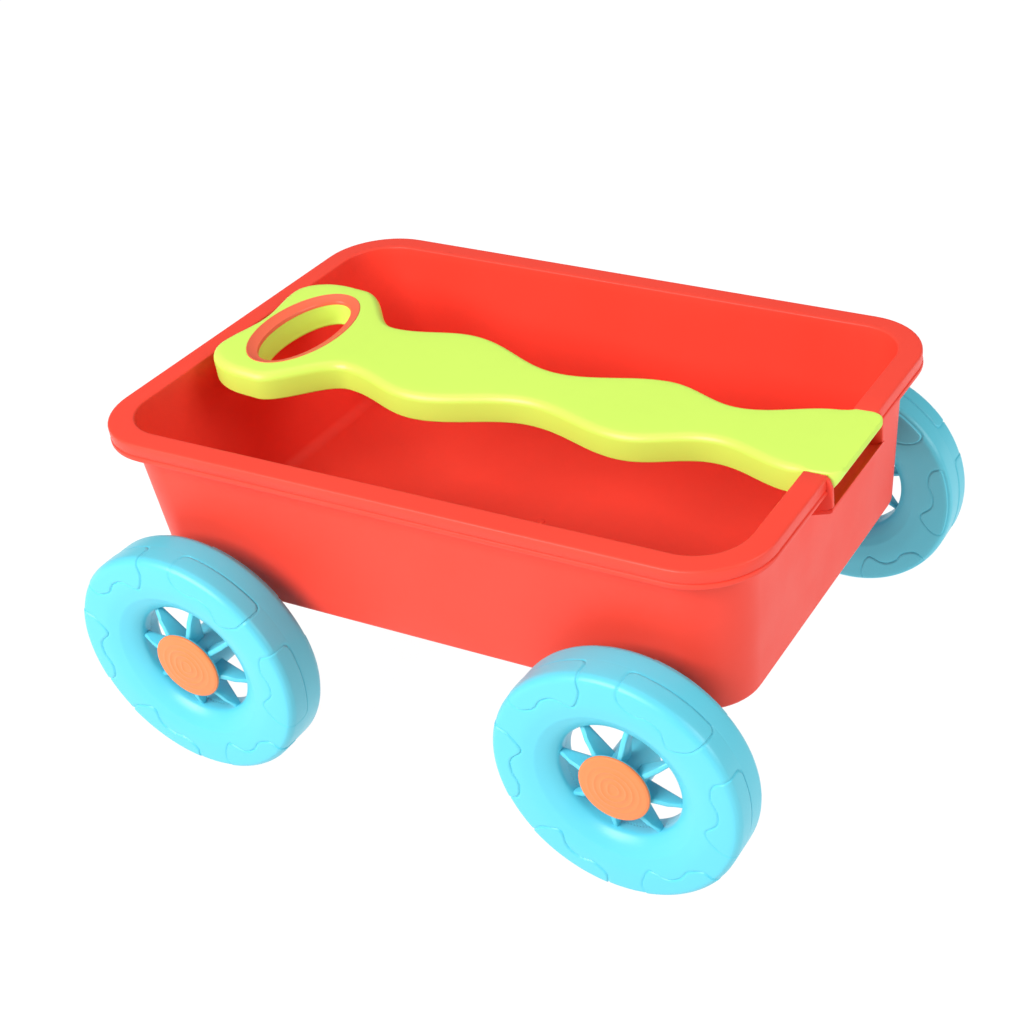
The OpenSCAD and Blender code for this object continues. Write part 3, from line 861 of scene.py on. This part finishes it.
def wheels():
    """Four wheels from three shared meshes, each set over its CAD wheel."""
    outer = make_mesh("wheel_outer", wheel_outer_shape(), CYAN, 40)
    inner = make_mesh("wheel_inner", ring_mesh(False), CYAN, 40)
    cap = make_mesh("hub_cap", cap_shape(), ORANGE, 50)
    for end in ("front", "rear"):
        for side, sign in (("right", -1), ("left", 1)):
            node = f"wheel_{end}_{side}"
            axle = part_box(f"{end}_axle")
            middle_x = (axle[0].x + axle[1].x) / 2
            middle_z = (axle[0].z + axle[1].z) / 2
            inner_low, inner_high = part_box(node + "_inner")
            middle_y = inner_high.y if sign < 0 else inner_low.y
            middle_y += sign * WHEEL_HW * MM
            centre = Matrix.Translation((middle_x, middle_y, middle_z))
            turn = centre @ Matrix.Rotation(-sign * math.pi / 2, 4, "X")
            flip = turn @ Matrix.Rotation(math.pi, 4, "X")
            place_piece(node + "_spoked_half", outer, node, [node + "_outer"], turn)
            place_piece(node + "_inside_half", inner, node, [node + "_inner"], flip)
            place_piece(f"cap_{end}_{side}", cap, node, [f"hub_cap_{end}_{side}"], turn)


# ---------------------------------------------------------------- running gear (CAD pieces, softened)
def soften(node, material, width):
    """Gives a CAD piece its material and softened edges."""
    obj = frame["nodes"][node]
    obj.data.materials.clear()
    obj.data.materials.append(material)
    bevel = obj.modifiers.new("soft_edges", "BEVEL")
    bevel.width = width * MM
    bevel.segments = 2
    bevel.limit_method = "ANGLE"
    bevel.angle_limit = math.radians(50)


def running_gear():
    for end in ("front", "rear"):
        soften(f"{end}_axle", STEEL, 0.4)
        soften(f"{end}_axle_carrier", RED_DARK, 0.4)
        soften(f"{end}_carrier_screws", STEEL, 0.15)
        soften(f"{end}_axle_spacers", CYAN, 0.25)
        soften(f"{end}_push_nuts", STEEL, 0.15)
    soften("hinge_pin", STEEL, 0.3)
    soften("hinge_pin_retainers", STEEL, 0.15)


# ---------------------------------------------------------------- stage
def studio():
    """Plain white paper that glows a little, a dim world and three softboxes."""
    floor = bpy.data.meshes.new("floor")
    half = 4.0
    corners = [(-half, -half, 0), (half, -half, 0), (half, half, 0), (-half, half, 0)]
    floor.from_pydata(corners, [], [(0, 1, 2, 3)])
    paper = bpy.data.materials.new("studio_paper")
    paper.use_nodes = True
    shader = paper.node_tree.nodes["Principled BSDF"]
    shader.inputs["Base Color"].default_value = (0.10, 0.10, 0.10, 1)
    shader.inputs["Roughness"].default_value = 0.9
    shader.inputs["Specular IOR Level"].default_value = 0.0
    shader.inputs["Emission Color"].default_value = (1, 1, 1, 1)
    shader.inputs["Emission Strength"].default_value = 0.98
    floor.materials.append(paper)
    sheet = bpy.data.objects.new("floor", floor)
    bpy.context.scene.collection.objects.link(sheet)

    world = bpy.data.worlds.new("studio")
    bpy.context.scene.world = world
    world.use_nodes = True
    world.node_tree.nodes["Background"].inputs["Color"].default_value = (1, 1, 1, 1)
    world.node_tree.nodes["Background"].inputs["Strength"].default_value = 0.28

    def softbox(name, place, target, size, power):
        data = bpy.data.lights.new(name, "AREA")
        data.shape = "RECTANGLE"
        data.size, data.size_y = size
        data.energy = power
        lamp = bpy.data.objects.new(name, data)
        bpy.context.scene.collection.objects.link(lamp)
        lamp.location = place
        lamp.rotation_mode = "QUATERNION"
        lamp.rotation_quaternion = (Vector(target) - Vector(place)).to_track_quat("-Z", "Y")

    softbox("key", (-0.50, -1.6, 1.35), (0, 0, 0.08), (1.3, 1.1), 48)
    softbox("fill", (1.6, 0.25, 0.9), (0, 0, 0.10), (0.9, 0.9), 11)
    softbox("top", (-0.1, 0.2, 1.8), (0, 0, 0.10), (1.2, 1.2), 3.5)


def camera():
    """The photograph's own viewpoint: to the right of the pulling end, looking down on the tub."""
    data = bpy.data.cameras.new("camera")
    data.sensor_width = 36
    data.lens = 60.54
    data.shift_x = -0.2351
    data.shift_y = 0.1381
    data.clip_start, data.clip_end = 0.01, 50
    obj = bpy.data.objects.new("camera", data)
    bpy.context.scene.collection.objects.link(obj)
    obj.location = (0.4176, -0.6072, 0.5560)
    azimuth, elevation, roll = (math.radians(a) for a in (26.502, 37.691, -3.01))
    back = Vector((math.sin(azimuth) * math.cos(elevation), -math.cos(azimuth) * math.cos(elevation),
                   math.sin(elevation)))
    obj.rotation_mode = "QUATERNION"
    tilt = Matrix.Rotation(roll, 3, "Z").to_quaternion()
    obj.rotation_quaternion = (-back).to_track_quat("-Z", "Y") @ tilt
    bpy.context.scene.camera = obj
    bpy.context.scene.view_settings.view_transform = "Standard"


camera()
studio()
tub()
handle()
grip_ring()
wheels()
running_gear()
